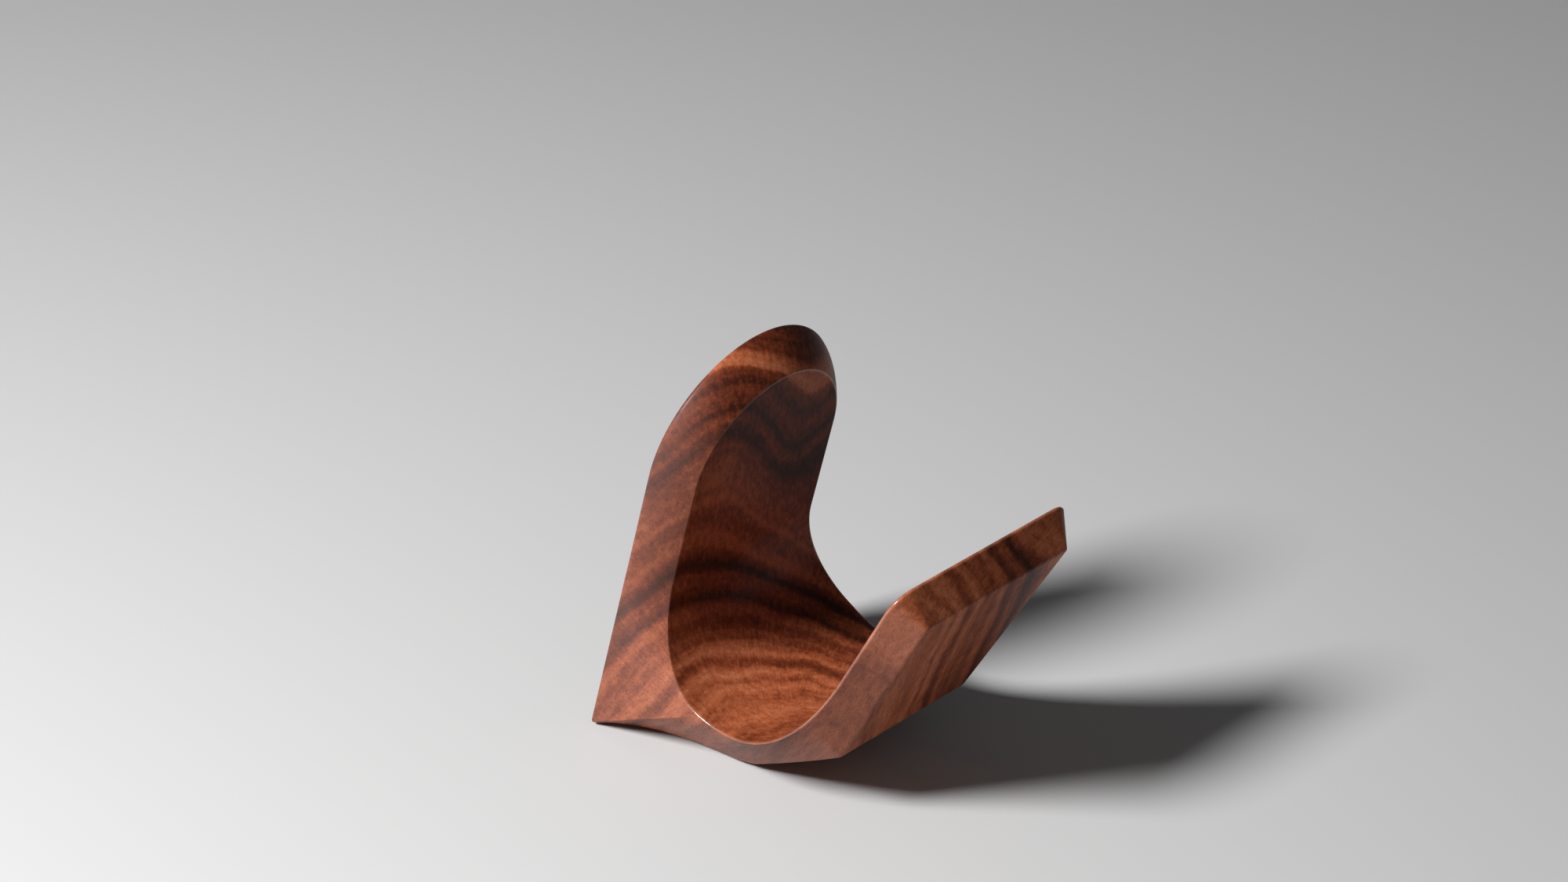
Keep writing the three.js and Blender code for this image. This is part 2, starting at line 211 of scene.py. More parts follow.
def scoop_outline():
    """Down the back of the upright, through the valley and up the arm."""
    down = np.array([-math.sin(LEAN), -math.cos(LEAN)])
    along = np.array([math.cos(ARM_ANGLE), math.sin(ARM_ANGLE)])
    low = np.array(VALLEY_LOW)
    start = on_face(SCOOP_START, UPRIGHT_THICKNESS)
    arm = np.array(TIP_INNER) - ARM_STRAIGHT * along
    falling = bezier(start, start + UPRIGHT_PULL * down, low - [VALLEY_PULL_BACK, 0], low)
    rising = bezier(low, low + [VALLEY_PULL_ON, 0], arm - ARM_PULL * along, arm)
    outline = Line([*falling, *rising[1:], TIP_INNER])
    outline.marks = {
        "foot": INNER_AT_FOOT,
        "belly": INNER_AT_BELLY,
        "heel": INNER_AT_HEEL,
        "tip": outline.length,
    }
    return outline


# ---- mesh helpers -------------------------------------------------------------------------------
def finished(name, bm):
    """An object of a closed bmesh, with its faces pointing out."""
    bmesh.ops.recalc_face_normals(bm, faces=bm.faces)
    mesh = bpy.data.meshes.new(name)
    bm.to_mesh(mesh)
    bm.free()
    obj = bpy.data.objects.new(name, mesh)
    bpy.context.scene.collection.objects.link(obj)
    return obj


def shade_smooth(obj):
    """Smooth shading, with edges above 35 degrees kept sharp."""
    mesh = obj.data
    mesh.polygons.foreach_set("use_smooth", [True] * len(mesh.polygons))
    mesh.set_sharp_from_angle(angle=math.radians(35))


def turned(name, profile):
    """A turned solid on the Z axis, from (radius, z) points in millimetres, closed on the axis."""
    bm = bmesh.new()
    verts = [bm.verts.new((r * MM, 0, z * MM)) for r, z in profile]
    edges = [bm.edges.new(pair) for pair in zip(verts, verts[1:])]
    bmesh.ops.spin(
        bm, geom=verts + edges, cent=(0, 0, 0), axis=(0, 0, 1),
        angle=2 * math.pi, steps=TURNED_STEPS, use_merge=True,
    )
    bmesh.ops.remove_doubles(bm, verts=bm.verts, dist=1e-7)
    return finished(name, bm)


def stacked(name, layers):
    """A solid over level outlines, from (outline, z) pairs in millimetres, bottom first."""
    bm = bmesh.new()
    rings = [[bm.verts.new(in_frame(x, y, z)) for x, y in outline] for outline, z in layers]
    for low, high in zip(rings, rings[1:]):
        for k in range(len(low)):
            bm.faces.new((low[k - 1], low[k], high[k], high[k - 1]))
    bm.faces.new(rings[0])
    bm.faces.new(rings[-1])
    return finished(name, bm)


def cut(obj, cutter):
    """Cut one object out of another, and remove the cutter."""
    modifier = obj.modifiers.new("cut", "BOOLEAN")
    modifier.operation = "DIFFERENCE"
    modifier.solver = "EXACT"
    modifier.object = cutter
    bpy.context.view_layer.update()
    graph = bpy.context.evaluated_depsgraph_get()
    result = bpy.data.meshes.new_from_object(obj.evaluated_get(graph))
    obj.modifiers.clear()
    obj.data = result
    bpy.data.objects.remove(cutter)


# ---- the carved block, as rings from the arch's crest to the arm's tip --------------------------
class Rim:
    """A point on the rim of a face. out runs on from the face, in its plane, square to the rim.

    At turn 0 it is half the width from the centre. A turn swings it towards run, round the centre
    or, where the face has a round corner of that radius, round the corner's own centre.
    """

    def __init__(self, centre, half, turn, run, corner=None):
        reach = corner or half
        self.out = np.array([run[0] * math.sin(turn), math.cos(turn), run[1] * math.sin(turn)])
        pivot = np.array([centre[0], half - reach, centre[1]])
        self.point = pivot + reach * self.out


def rounding(rim, radius, beside):
    """How far a rounded edge reaches from its rim, where it meets the face, and the flat beyond."""
    cosine = unit(beside - rim.point) @ -rim.out
    reach = radius * math.sqrt((1 + cosine) / (1 - cosine))
    return reach, rim.point - rim.out * reach, rim.point - rim.out * (reach + FACE_MARGIN)


def side(inner, outer, points):
    """Half a ring, from the scooped face over its rim, down the side and round the outer edge."""
    line = Line(points)
    cut_in, face_in, flat_in = rounding(inner, RIM_EDGE, line.at(SLOPE_PROBE))
    cut_out, face_out, flat_out = rounding(outer, OUTER_EDGE, line.at(line.length - SLOPE_PROBE))
    middle = line.at(np.linspace(cut_in, line.length - cut_out, SIDE_STEPS + 1))
    over = round_corner(face_in, inner.point, middle[0], EDGE_STEPS)
    under = round_corner(middle[-1], outer.point, face_out, EDGE_STEPS)
    return np.vstack([flat_in, over, middle[1:-1], under, flat_out])


def ring(inner, inner_half, outer, outer_half, crown=1, reach=None, turn=0.0):
    """One ring. The side's bevel goes reach deep, and a crown above 1 makes it full."""
    up = (math.sin(LEAN), math.cos(LEAN))
    ends = Rim(inner, inner_half, turn, up), Rim(outer, outer_half, turn, up)
    depth = np.linalg.norm(np.subtract(outer, inner))
    f = np.linspace(0, 1, PROFILE_POINTS)
    bevel = np.maximum(0, 1 - f * depth / (reach or depth)) ** crown
    half = outer_half - (outer_half - inner_half) * bevel
    x, z = (np.asarray(inner) + f[:, None] * np.subtract(outer, inner)).T
    middle = np.column_stack([x, 0 * f, z])
    return side(*ends, middle + half[:, None] * ends[0].out)


def eased_steps(count):
    """Steps from 0 to 1 that crowd towards both ends, without the last."""
    return (1 - np.cos(math.pi * np.arange(count) / count)) / 2


def arch_rings():
    back = on_face(BACK_ARCH_CENTRE, UPRIGHT_THICKNESS)
    front = on_face(ARCH_CENTRE)
    return [
        ring(back, BACK_ARCH_RADIUS, front, ARCH_RADIUS, CROWN, turn=turn)
        for turn in np.linspace(math.pi / 2, 0, ARCH_RINGS, endpoint=False)
    ]


def upright_rings():
    rings = []
    for f in np.linspace(0, 1, UPRIGHT_RINGS, endpoint=False):
        inner = on_face(BACK_ARCH_CENTRE + (SCOOP_START - BACK_ARCH_CENTRE) * f, UPRIGHT_THICKNESS)
        outer = on_face(ARCH_CENTRE + (SCOOP_START - ARCH_CENTRE) * f)
        rings.append(ring(inner, BACK_ARCH_RADIUS, outer, HALF_WIDTH, CROWN))
    return rings


def base_half(x):
    """Half the base's width at a distance behind the foot."""
    return BASE_HALF_WIDTH + (HALF_WIDTH - BASE_HALF_WIDTH) * math.exp(-x / BASE_NARROWING)


def outer_half(distance, marks):
    """Half the block's width down its outer outline, below the foot."""
    if distance <= marks["belly"]:
        return base_half(distance - marks["foot"])
    if distance <= marks["heel"]:
        f = (distance - marks["belly"]) / (marks["heel"] - marks["belly"])
        at_belly = base_half(marks["belly"] - marks["foot"])
        return at_belly + (HEEL_HALF_WIDTH - at_belly) * math.sin(f * math.pi / 2)
    f = (distance - marks["heel"]) / (marks["tip"] - marks["heel"])
    return HEEL_HALF_WIDTH + (TIP_HALF_WIDTH - HEEL_HALF_WIDTH) * f


def eased(distance, start, end):
    """A smooth step, from 0 at the start to 1 at the end."""
    f = min(1, max(0, (distance - start) / (end - start)))
    return f * f * (3 - 2 * f)


def inner_half(distance):
    """Half the scooped face's width at a distance down it."""
    opening = eased(distance, 0, INNER_AT_FOOT)
    widening = ARM_WIDENING * eased(distance, INNER_AT_FOOT, INNER_AT_HEEL)
    return BACK_ARCH_RADIUS + (HALF_WIDTH - BACK_ARCH_RADIUS) * opening + widening


def foot_rings(outer, inner):
    """Rings down to the foot, where the bevel's depth shrinks to the crescent at the valley."""
    slope = UPRIGHT_THICKNESS / (HALF_WIDTH - BACK_ARCH_RADIUS)
    rings = []
    for f in eased_steps(FOOT_RINGS):
        near, far = inner.marks["foot"] * f, outer.marks["foot"] * f
        half = inner_half(near)
        crown = CROWN + (CROWN_AT_FOOT - CROWN) * f
        reach = slope * (HALF_WIDTH - half)
        rings.append(ring(inner.at(near), half, outer.at(far), HALF_WIDTH, crown, reach))
    return rings


def lower_rings(outer, inner):
    """Rings along the base, up to the heel and up the arm, as far as its tip's corners."""
    stops = {"belly": (0, 0), "heel": (0, 0), "tip": (TIP_CORNER, TIP_CORNER_OUTER)}
    rings = []
    near, far = inner.marks["foot"], outer.marks["foot"]
    for stop, (short_in, short_out) in stops.items():
        to_near, to_far = inner.marks[stop] - short_in, outer.marks[stop] - short_out
        for f in eased_steps(LOWER_RINGS):
            n, o = near + (to_near - near) * f, far + (to_far - far) * f
            rings.append(ring(inner.at(n), inner_half(n), outer.at(o), outer_half(o, outer.marks)))
        near, far = to_near, to_far
    return rings


def tip_rings(outer, inner):
    """Rings round the corners of the arm's tip. The last is one end of the end face."""
    along_in = (math.cos(ARM_ANGLE), math.sin(ARM_ANGLE))
    along_out = unit(np.subtract(TIP_OUTER, HEEL))
    inner_centre = inner.at(inner.marks["tip"] - TIP_CORNER)
    outer_centre = outer.at(outer.marks["tip"] - TIP_CORNER_OUTER)
    rings = []
    for turn in np.linspace(0, math.pi / 2, TIP_RINGS):
        ends = (
            Rim(inner_centre, HALF_WIDTH + ARM_WIDENING, turn, along_in, TIP_CORNER),
            Rim(outer_centre, TIP_HALF_WIDTH, turn, along_out, TIP_CORNER_OUTER),
        )
        rings.append(side(*ends, np.linspace(ends[0].point, ends[1].point, PROFILE_POINTS)))
    return rings


def skin_faces(count, size):
    """Faces from each ring to the next and across the last one, as numbers of points."""
    faces = []
    for r in range(count - 1):
        for k in range(size):
            a, b = r * size + k, r * size + (k + 1) % size
            faces.append((a, b, b + size, a + size))
    last = (count - 1) * size
    for k in range(size // 2 - 1):
        across = last + size - 1 - k
        faces.append((last + k, last + k + 1, across - 1, across))
    return faces


def carved_block():
    """The block's skin: rings of points down both sides, joined across its faces.

    The attribute "rim" is 1 on the rounded rim of the scooped face.
    """
    outer, inner = outer_outline(), scoop_outline()
    sides = np.array(
        arch_rings()
        + upright_rings()
        + foot_rings(outer, inner)
        + lower_rings(outer, inner)
        + tip_rings(outer, inner)
    )
    rings = np.concatenate([sides, (sides * [1, -1, 1])[:, ::-1]], axis=1)
    count, size = rings.shape[:2]
    bm = bmesh.new()
    rim = bm.verts.layers.float.new("rim")
    verts = [bm.verts.new(in_frame(*point)) for point in rings.reshape(-1, 3)]
    for k, vert in enumerate(verts):
        from_face = min(k % size, size - 1 - k % size)
        vert[rim] = float(0 < from_face <= EDGE_STEPS)
    for face in skin_faces(count, size):
        bm.faces.new([verts[k] for k in face])
    bmesh.ops.remove_doubles(bm, verts=bm.verts, dist=1e-6)
    bmesh.ops.dissolve_degenerate(bm, edges=bm.edges, dist=1e-7)
    return finished("walnut_block", bm)


# ---- where the round pieces sit -----------------------------------------------------------------
def face_matrix():
    """Origin at the arch's centre on the front face, Z out of the face, X up it."""
    x, z = on_face(ARCH_CENTRE)
    place = Matrix.Translation(in_frame(x, 0, z))
    return place @ Matrix.Rotation(LEAN - math.pi / 2, 4, "Y")


def turned_on_face(name, profile, centre=(0, 0)):
    """A turned solid square to the front face, its profile's heights measured out of the face."""
    obj = turned(name, profile)
    obj.data.transform(face_matrix() @ Matrix.Translation(Vector((*centre, 0)) * MM))
    return obj


def pocket():
    """The cutter for the tray's pocket, with the chamfer at its mouth."""
    radius = TRAY_RADIUS + GAP
    clear = 5  # how far it stands out of the face
    return turned_on_face("pocket", [
        (0, -POCKET_DEPTH),
        (radius, -POCKET_DEPTH),
        (radius, -POCKET_CHAMFER),
        (radius + POCKET_CHAMFER + clear, clear),
        (0, clear),
    ])


def pilot(index):
    """The cutter for one screw's hole, from just inside the pocket."""
    angle = 2 * math.pi * index / SCREW_COUNT
    centre = SCREW_CIRCLE * math.cos(angle), SCREW_CIRCLE * math.sin(angle)
    top = GAP - POCKET_DEPTH
    profile = [(0, -PILOT_DEPTH), (PILOT_RADIUS, -PILOT_DEPTH), (PILOT_RADIUS, top), (0, top)]
    return turned_on_face("pilot", profile, centre)


def pad_outline(inset):
    """The base pad's outline from above: the base's own, drawn in, with round corners."""
    x = np.linspace(PAD_FRONT + inset, PAD_BACK - inset, PAD_CURVE_POINTS)
    edge = Line(np.column_stack([x, [base_half(k) - PAD_INSET - inset for k in x]]))
    first, last = edge.points[0], edge.points[-1]
    inward = np.array([0, PAD_CORNER])
    run = np.linspace(PAD_CORNER, edge.length - PAD_CORNER, PAD_EDGE_POINTS)
    near = np.vstack([
        round_corner(first - inward, first, edge.at(run[0]), CORNER_STEPS),
        edge.at(run[1:-1]),
        round_corner(edge.at(run[-1]), last, last - inward, CORNER_STEPS),
    ])
    return np.vstack([near, near[::-1] * [1, -1]])


# ---- node helpers -------------------------------------------------------------------------------
class Shader:
    """A material with a principled surface, and short names for the nodes that feed it.

    position is the surface point in millimetres.
    """

    def __init__(self, name, roughness, **constants):
        self.material = bpy.data.materials.new(name)
        self.material.use_nodes = True
        self.tree = self.material.node_tree
        self.surface = self.tree.nodes["Principled BSDF"]
        self.surface.inputs["Roughness"].default_value = roughness
        for socket, value in constants.items():
            self.surface.inputs[socket.replace("_", " ")].default_value = value
        position = self.tree.nodes.new("ShaderNodeTexCoord").outputs["Object"]
        self.position = self.vector("SCALE", position, scale=1 / MM)

    def put(self, socket, value):
        """Link a node's output to a socket, or set a constant on it."""
        if isinstance(value, bpy.types.NodeSocket):
            self.tree.links.new(value, socket)
        elif value is not None:
            socket.default_value = value

    def attribute(self, name):
        node = self.tree.nodes.new("ShaderNodeAttribute")
        node.attribute_name = name
        return node.outputs["Fac"]

    def vector(self, operation, a, b=None, scale=None):
        node = self.tree.nodes.new("ShaderNodeVectorMath")
        node.operation = operation
        self.put(node.inputs[0], a)
        self.put(node.inputs[1], b)
        self.put(node.inputs[3], scale)
        return node.outputs["Value" if operation in ("DOT_PRODUCT", "LENGTH") else "Vector"]

    def math(self, operation, a, b=None, c=None):
        node = self.tree.nodes.new("ShaderNodeMath")
        node.operation = operation
        for socket, value in zip(node.inputs, (a, b, c)):
            self.put(socket, value)
        return node.outputs[0]

    def add(self, a, b):
        return self.math("ADD", a, b)

    def subtract(self, a, b):
        return self.math("SUBTRACT", a, b)

    def times(self, a, b):
        return self.math("MULTIPLY", a, b)

    def swing(self, value, noise, amount):
        """A value pushed up and down by a noise, whose whole range is worth the amount."""
        return self.add(value, self.times(self.subtract(noise, 0.5), amount))

    def combine(self, x, y, z):
        node = self.tree.nodes.new("ShaderNodeCombineXYZ")
        for socket, value in zip(node.inputs, (x, y, z)):
            self.put(socket, value)
        return node.outputs[0]

    def noise(self, where, scale=1.0, detail=2.0, roughness=0.5, distortion=0.0):
        """Noise of about 0 to 1 at a point or, given a number, along a line."""
        node = self.tree.nodes.new("ShaderNodeTexNoise")
        along = where.type == "VALUE"
        node.noise_dimensions = "1D" if along else "3D"
        self.put(node.inputs["W" if along else "Vector"], where)
        self.put(node.inputs["Scale"], scale)
        self.put(node.inputs["Detail"], detail)
        self.put(node.inputs["Roughness"], roughness)
        self.put(node.inputs["Distortion"], distortion)
        return node.outputs["Fac"]

    def cells(self, where, scale=1.0):
        """Distance from the nearest of many scattered points."""
        node = self.tree.nodes.new("ShaderNodeTexVoronoi")
        self.put(node.inputs["Vector"], where)
        self.put(node.inputs["Scale"], scale)
        return node.outputs["Distance"]

    def remap(self, value, low, high, to_low=0.0, to_high=1.0):
        """A smooth step between two values of its input, level outside them."""
        node = self.tree.nodes.new("ShaderNodeMapRange")
        node.interpolation_type = "SMOOTHSTEP"
        for socket, number in zip(node.inputs, (value, low, high, to_low, to_high)):
            self.put(socket, number)
        return node.outputs["Result"]

    def ramp(self, value, stops):
        """A colour for each value, between (place, colour) stops."""
        node = self.tree.nodes.new("ShaderNodeValToRGB")
        elements = node.color_ramp.elements
        while len(elements) < len(stops):
            elements.new(0.5)
        for element, (place, colour) in zip(elements, stops):
            element.position = place
            element.color = (*colour, 1)
        self.put(node.inputs[0], value)
        return node.outputs["Color"]

    def mix(self, factor, a, b):
        node = self.tree.nodes.new("ShaderNodeMix")
        node.data_type = "RGBA"
        # sockets 6 and 7, and output 2, are the colours
        for place, value in ((0, factor), (6, a), (7, b)):
            self.put(node.inputs[place], (*value, 1) if isinstance(value, tuple) else value)
        return node.outputs[2]

    def bump(self, height, distance_mm, strength):
        node = self.tree.nodes.new("ShaderNodeBump")
        self.put(node.inputs["Height"], height)
        self.put(node.inputs["Distance"], distance_mm * MM)
        self.put(node.inputs["Strength"], strength)
        self.put(self.surface.inputs["Normal"], node.outputs[0])

    def colour(self, value):
        self.put(self.surface.inputs["Base Color"], value)

    def roughness(self, value):
        self.put(self.surface.inputs["Roughness"], value)


# ---- walnut: a solid 3-D figure, so that it runs on over every edge ------------------------------
# The block was sawn from near the pith. Growth rings are tubes round the pith line.
PITH_POINT = (17.3, -31.4, 12.1)
FIBRE = Vector((0.652, -0.270, 0.709)).normalized()
# How far the rings stray from round: slowly, in small waves, and in knotty waves near the pith.
WANDER = 3.0
WAVES = 2.6
KNOTS = 11.0
KNOTS_FADE = (32.0, 48.0)
# The grain of the upright ripples across it, and sweeps up beyond the ripple's crest.
RIPPLE = 1.5
RIPPLE_LENGTH = 44.0
RIPPLE_CREST_Y = 8.0
FAR_SWEEP = 0.024
RIPPLE_HEIGHTS = (40.0, 80.0)  # between these it sets in
# A year's ring darkens slowly, and years are uneven.
RING_WIDTH = 5.7
UNEVEN_YEARS = 1.6
UNEVEN_LENGTH = 17.0
LATE_WOOD = 0.07
# The strongest growth lines: distance from the pith, half width, strength.
STRONG_LINES = (
    (19.5, 0.8, 0.10), (24.0, 0.7, 0.08), (30.0, 1.0, 0.16), (34.8, 0.9, 0.12), (39.7, 1.4, 0.22),
    (48.6, 1.9, 0.17), (57.1, 1.0, 0.20), (61.0, 5.0, 0.18), (64.0, 1.0, 0.22), (70.0, 1.5, 0.15),
    (76.9, 1.5, 0.27), (81.0, 1.2, 0.18), (85.4, 1.4, 0.36), (90.0, 1.5, 0.36), (95.5, 1.7, 0.38),
)
LINE_FADE = 2.4  # a line is gone at this many half widths
# The tone at the pith, and its changes on the way out: where each starts and ends, how much. The last
# change is painted shadow over the arch's crest, where a standing phone's shadow falls, not a change
# in the wood.
PITH_TONE = 0.64
TONE_AND_SHADE_CHANGES = (
    (16.0, 29.0, 0.15), (30.0, 48.0, -0.10), (64.0, 72.0, 0.07),
    # the last entry is painted shadow over the arch's crest
    (76.0, 84.0, -0.18), (97.0, 100.0, 0.18), (101.5, 105.5, -0.42),
)
WOOD_COLOURS = (
    (0.0, (0.012, 0.003, 0.002)),
    (0.25, (0.040, 0.008, 0.003)),
    (0.5, (0.135, 0.027, 0.009)),
    (0.75, (0.290, 0.077, 0.030)),
    (1.0, (0.420, 0.150, 0.075)),
)
PORE = (0.022, 0.009, 0.007)
PAINTED_SIDE_SHEEN = (0.30, 0.16, 0.135)  # painted sheen, which the sides turn towards; the next is a painted highlight on the rim
RIM_PAINTED_HIGHLIGHT = (0.42, 0.22, 0.15)
PAINTED_SIDE_SHEEN_SHARE = 0.22
RIM_PAINTED_HIGHLIGHT_SHARE = 0.12
COAT = 0.07
POLISHED_COAT = 0.82


def ripple(s):
    """How far the upright's grain is shifted at a point."""
    across = s.subtract(s.vector("DOT_PRODUCT", s.position, (0, 1, 0)), RIPPLE_CREST_Y)
    beyond = s.math("MAXIMUM", across, 0)
    sweep = s.times(s.times(beyond, beyond), -FAR_SWEEP)
    wave = s.math("COSINE", s.times(across, 2 * math.pi / RIPPLE_LENGTH))
    height = s.vector("DOT_PRODUCT", s.position, (0, 0, 1))
    return s.times(s.math("MULTIPLY_ADD", wave, RIPPLE, sweep), s.remap(height, *RIPPLE_HEIGHTS))


def growth_tone_and_shade(s, radius):
    """The tone of the wood by its distance from the pith, with painted shadow over the arch's crest.
    """
    uneven = s.noise(s.math("DIVIDE", radius, UNEVEN_LENGTH), detail=1)
    year = s.add(s.math("DIVIDE", radius, RING_WIDTH), s.times(uneven, UNEVEN_YEARS))
    part = s.math("FRACT", year)
    late = s.times(s.remap(part, 0.2, 0.85), s.remap(part, 0.85, 1.0, 1, 0))
    tone = s.subtract(PITH_TONE, s.times(late, LATE_WOOD))
    for place, half, strength in STRONG_LINES:
        off = s.math("ABSOLUTE", s.subtract(radius, place))
        tone = s.subtract(tone, s.remap(off, 0, half * LINE_FADE, strength, 0))
    for start, end, change in TONE_AND_SHADE_CHANGES:
        tone = s.add(tone, s.remap(radius, start, end, 0, change))
    return tone


def walnut():
    s = Shader("walnut_oiled", 0.42, Coat_Roughness=0.15, Specular_IOR_Level=0.14)
    flat = FIBRE.cross(Vector((0, 1, 0))).normalized()
    from_pith = s.vector("SUBTRACT", s.position, PITH_POINT)
    along = s.vector("DOT_PRODUCT", from_pith, tuple(FIBRE))
    u = s.vector("DOT_PRODUCT", from_pith, tuple(flat))
    v = s.vector("DOT_PRODUCT", from_pith, tuple(FIBRE.cross(flat)))

    def trunk(sideways, lengthways):
        """The place in the trunk, scaled across the fibre and along it."""
        return s.combine(s.times(u, sideways), s.times(v, sideways), s.times(along, lengthways))

    # distance from the pith, as the rings run
    radius = s.math("SQRT", s.add(s.times(u, u), s.times(v, v)))
    radius = s.swing(radius, s.noise(trunk(1, 0.35), scale=1 / 26, detail=1), WANDER)
    radius = s.swing(radius, s.noise(trunk(1, 0.5), scale=1 / 11), WAVES)
    knots = s.noise(trunk(1, 0.6), scale=1 / 15, detail=1)
    radius = s.swing(radius, knots, s.remap(radius, *KNOTS_FADE, KNOTS, 0))
    radius = s.add(radius, ripple(s))

    # fibres, streaks and pores run along the trunk, rays across it
    fibres = s.noise(trunk(3.0, 0.1), detail=4, roughness=0.6)
    streaks = s.noise(trunk(0.7, 0.025), detail=3, roughness=0.55)
    pores = s.remap(s.cells(trunk(2.0, 0.16)), 0.08, 0.3, 1, 0)
    round_pith = s.math("ARCTAN2", v, u)
    rays = s.noise(s.combine(s.times(radius, 0.11), s.times(round_pith, 90), s.times(along, 0.8)))
    bands = s.noise(s.math("DIVIDE", radius, 5), detail=3)
    zones = s.noise(trunk(1, 0.3), scale=1 / 30, detail=1)
    tone = growth_tone_and_shade(s, radius)
    for detail, amount in ((bands, 0.55), (zones, 0.5), (fibres, 0.36), (streaks, 0.5), (rays, 0.3)):
        tone = s.swing(tone, detail, amount)
    wood = s.ramp(tone, WOOD_COLOURS)

    # painted sheen makes the sides paler, and the rim of the scooped face gets a painted highlight and
    # a stronger coat
    normal = s.tree.nodes.new("ShaderNodeNewGeometry").outputs["True Normal"]
    to_side = s.math("ABSOLUTE", s.vector("DOT_PRODUCT", normal, (0, 1, 0)))
    wood = s.mix(s.remap(to_side, 0.4, 0.9, 0, PAINTED_SIDE_SHEEN_SHARE), wood, PAINTED_SIDE_SHEEN)
    rim_coat_and_highlight = s.attribute("rim")
    # painted highlight: the rim's colour is lifted towards a pale tone, beside its stronger coat
    wood = s.mix(s.times(rim_coat_and_highlight, RIM_PAINTED_HIGHLIGHT_SHARE), wood, RIM_PAINTED_HIGHLIGHT)
    coat = s.math("MULTIPLY_ADD", rim_coat_and_highlight, POLISHED_COAT - COAT, COAT)
    s.put(s.surface.inputs["Coat Weight"], coat)
    s.colour(s.mix(s.times(pores, 0.55), wood, PORE))
    rough = s.add(0.42, s.times(fibres, 0.14))
    s.roughness(s.add(rough, s.times(pores, 0.2)))
    s.bump(s.subtract(s.times(fibres, 0.5), pores), 0.03, 0.5)
    return s.material


# ---- the other materials ------------------------------------------------------------------------
def pebbled_leather():
    s = Shader("cover_leather", 0.6, Coat_Weight=0.05, Coat_Roughness=0.5, Sheen_Weight=0.08)
    pebbles = s.remap(s.cells(s.position, 1.3), 0.1, 0.65)
    creases = s.noise(s.position, 0.5, detail=4, roughness=0.6)
    shade = s.add(s.times(pebbles, 0.35), s.times(creases, 0.65))
    s.colour(s.mix(shade, (0.030, 0.024, 0.021), (0.014, 0.011, 0.010)))
    s.roughness(s.remap(creases, 0.3, 0.7, 0.52, 0.68))
    s.bump(s.subtract(s.times(creases, 0.4), pebbles), 0.06, 0.8)
    return s.material


def pad_rubber():
    s = Shader("pad_rubber", 0.85, IOR=1.52)
    dust = s.noise(s.position, 0.12, detail=3)
    skin = s.noise(s.position, 4.0, detail=3, roughness=0.7)
    s.colour(s.mix(dust, (0.010, 0.010, 0.011), (0.022, 0.022, 0.023)))
    s.roughness(s.remap(skin, 0.3, 0.7, 0.78, 0.92))
    s.bump(skin, 0.04, 0.7)
    return s.material


def moulded_polymer():
    s = Shader("moulded_polymer", 0.5, IOR=1.5)
    sparks = s.noise(s.position, 6.0, roughness=0.6)
    flow = s.noise(s.position, 0.15, distortion=0.6)
    s.colour(s.mix(flow, (0.036, 0.037, 0.040), (0.050, 0.051, 0.053)))
    s.roughness(s.remap(sparks, 0.3, 0.7, 0.42, 0.58))
    s.bump(sparks, 0.02, 0.6)
    return s.material


def rolled_steel(name, colour, roughness):
    """Plated or bare metal, with fine lines across the face and a few dull spots."""
    s = Shader(name, roughness, Metallic=1.0, Anisotropic=0.3)
    lines = s.noise(s.vector("MULTIPLY", s.position, (0.4, 9.0, 0.4)), detail=3, roughness=0.7)
    spots = s.remap(s.noise(s.position, 0.5, detail=4, roughness=0.7), 0.5, 0.75)
    dull = tuple(0.72 * part for part in colour)
    s.colour(s.mix(s.times(spots, 0.6), colour, dull))
    lined = s.remap(lines, 0.3, 0.7, roughness - 0.06, roughness + 0.08)
    s.roughness(s.add(lined, s.times(spots, 0.12)))
    s.bump(lines, 0.008, 0.5)
    return s.material


# ---- pieces ---------------------------------------------------------------------------------------
def declare(piece, node, material):
    """Give a piece its material, hide the CAD node that it stands for, and attach it to the root body.
    """
    piece.data.materials.clear()
    piece.data.materials.append(material)
    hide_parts(node)
    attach(piece, "root")


def walnut_block():
    block = carved_block()
    cut(block, pocket())
    for index in range(SCREW_COUNT):
        cut(block, pilot(index))
    clear = -1  # below the block
    bed = stacked("bed", [(pad_outline(0), z) for z in (clear, PAD_PROUD + PAD_RECESS)])
    cut(block, bed)
    shade_smooth(block)
    return block


def leather_cover():
    rim = np.array([TRAY_RADIUS, COVER_TOP])
    edge = round_corner(rim - [0, COVER_EDGE], rim, rim - [COVER_EDGE, 0], EDGE_STEPS)
    profile = [(0, COVER_BOTTOM), (TRAY_RADIUS, COVER_BOTTOM), *edge, (0, COVER_TOP)]
    cover = turned_on_face("leather_cover", profile)
    shade_smooth(cover)
    return cover


def rubber_pad():
    top = PAD_PROUD + PAD_RECESS - GAP
    soft = 0.25  # size of the soft lower edge, which bends once
    bend = 0.3 * soft
    levels = ((GAP + soft, 0), (GAP + bend, bend), (GAP, soft), (GAP, top))
    pad = stacked("rubber_pad", [(pad_outline(inset), z) for inset, z in levels])
    shade_smooth(pad)
    return pad


declare(walnut_block(), "carved_body", walnut())
declare(leather_cover(), "cover_disc", pebbled_leather())
declare(rubber_pad(), "base_pad", pad_rubber())

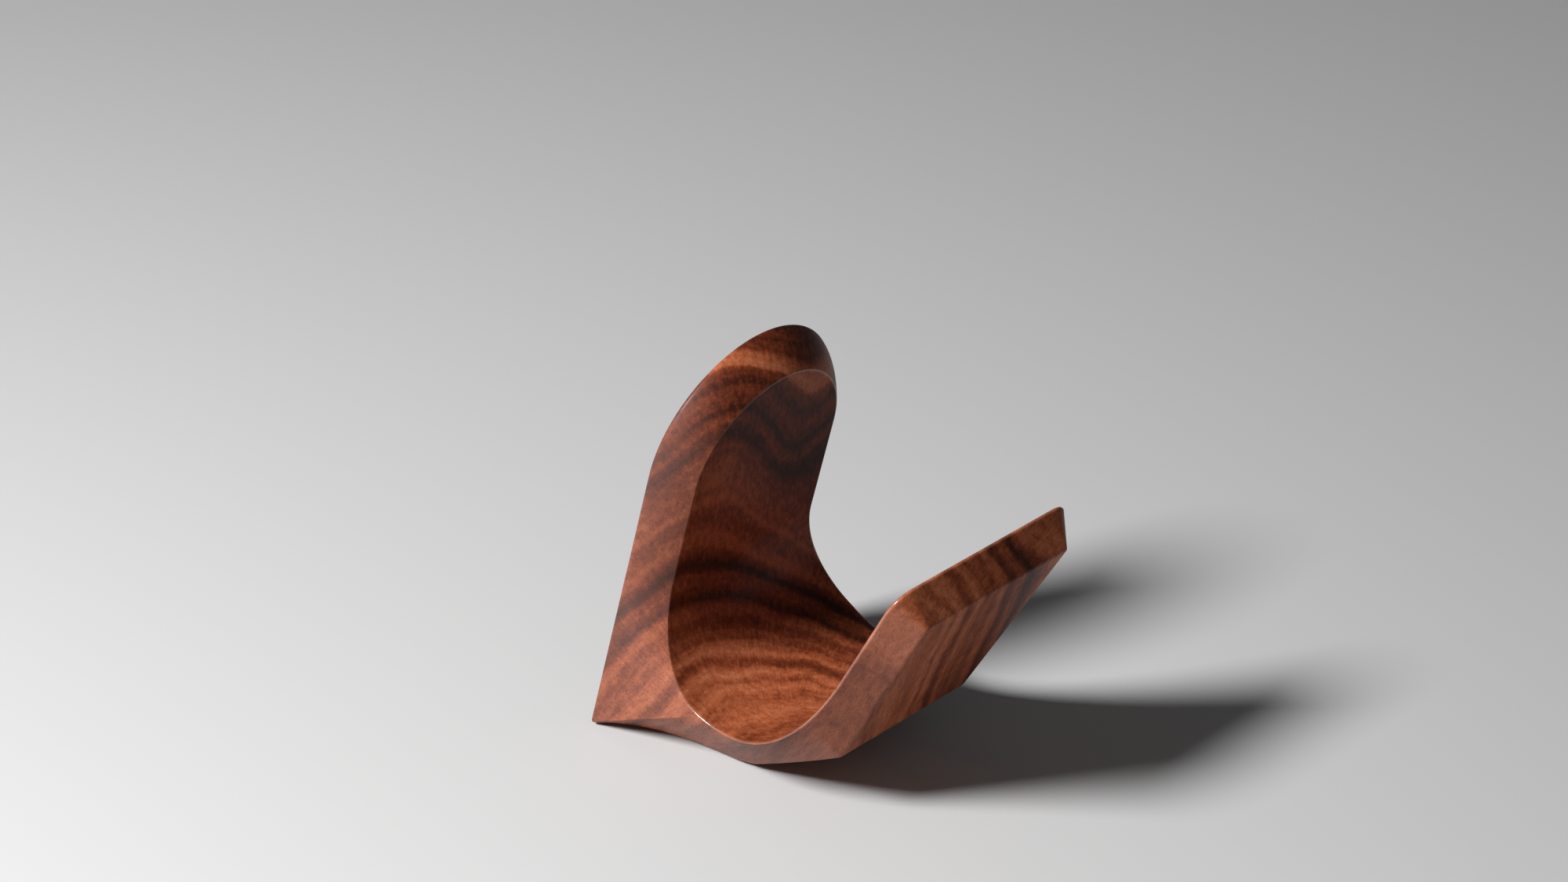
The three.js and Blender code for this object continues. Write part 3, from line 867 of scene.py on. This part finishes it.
# The tray, its steel ring, the magnets and the screws keep their CAD shapes. A node takes the
# first material here that its name starts with.
steel = rolled_steel("rolled_steel", (0.56, 0.55, 0.53), 0.34)
kept_materials = {
    "magnet_tray": moulded_polymer(),
    "steel_ring": steel,
    "tray_screw_": steel,
    "magnet_": rolled_steel("nickel_plate", (0.66, 0.63, 0.58), 0.22),
}
for name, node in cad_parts.items():
    start = next((start for start in kept_materials if name.startswith(start)), None)
    if start:
        for material_slot in node.material_slots:
            material_slot.material = kept_materials[start]

# ---- room, light and camera -------------------------------------------------------------------------
FLOOR_REACH = 6.0
AIM = Vector((0, 0, 0.05))  # the lights face the middle of the stand

bpy.ops.mesh.primitive_plane_add(size=2 * FLOOR_REACH)
floor = bpy.context.object
floor.name = "floor"
paper = Shader("pale_floor", 0.8)
paper.colour((0.46, 0.46, 0.46, 1))
floor.data.materials.append(paper.material)


def area_light(name, towards_light, distance, size, power):
    data = bpy.data.lights.new(name, "AREA")
    data.shape = "DISK"
    data.size = size
    data.energy = power
    light = bpy.data.objects.new(name, data)
    direction = Vector(towards_light).normalized()
    light.location = direction * distance + AIM
    light.rotation_euler = direction.to_track_quat("Z", "Y").to_euler()
    bpy.context.scene.collection.objects.link(light)


area_light("key", (-0.20, -0.72, 0.66), distance=1.25, size=0.34, power=31.5)
area_light("fill", (0.9, -0.5, 0.9), distance=1.8, size=1.4, power=1.2)

world = bpy.data.worlds.new("studio")
world.use_nodes = True
background = world.node_tree.nodes["Background"]
background.inputs["Color"].default_value = (1, 1, 1, 1)
background.inputs["Strength"].default_value = 0.07
bpy.context.scene.world = world
bpy.context.scene.view_settings.view_transform = "Standard"

camera_data = bpy.data.cameras.new("camera")
camera_data.lens = 95.3
camera_data.sensor_width = 36
camera = bpy.data.objects.new("camera", camera_data)
camera.location = (0.61634, -0.69111, 0.58640)
camera.rotation_euler = (math.radians(61.93), 0, math.radians(42.46))
bpy.context.scene.collection.objects.link(camera)
bpy.context.scene.camera = camera
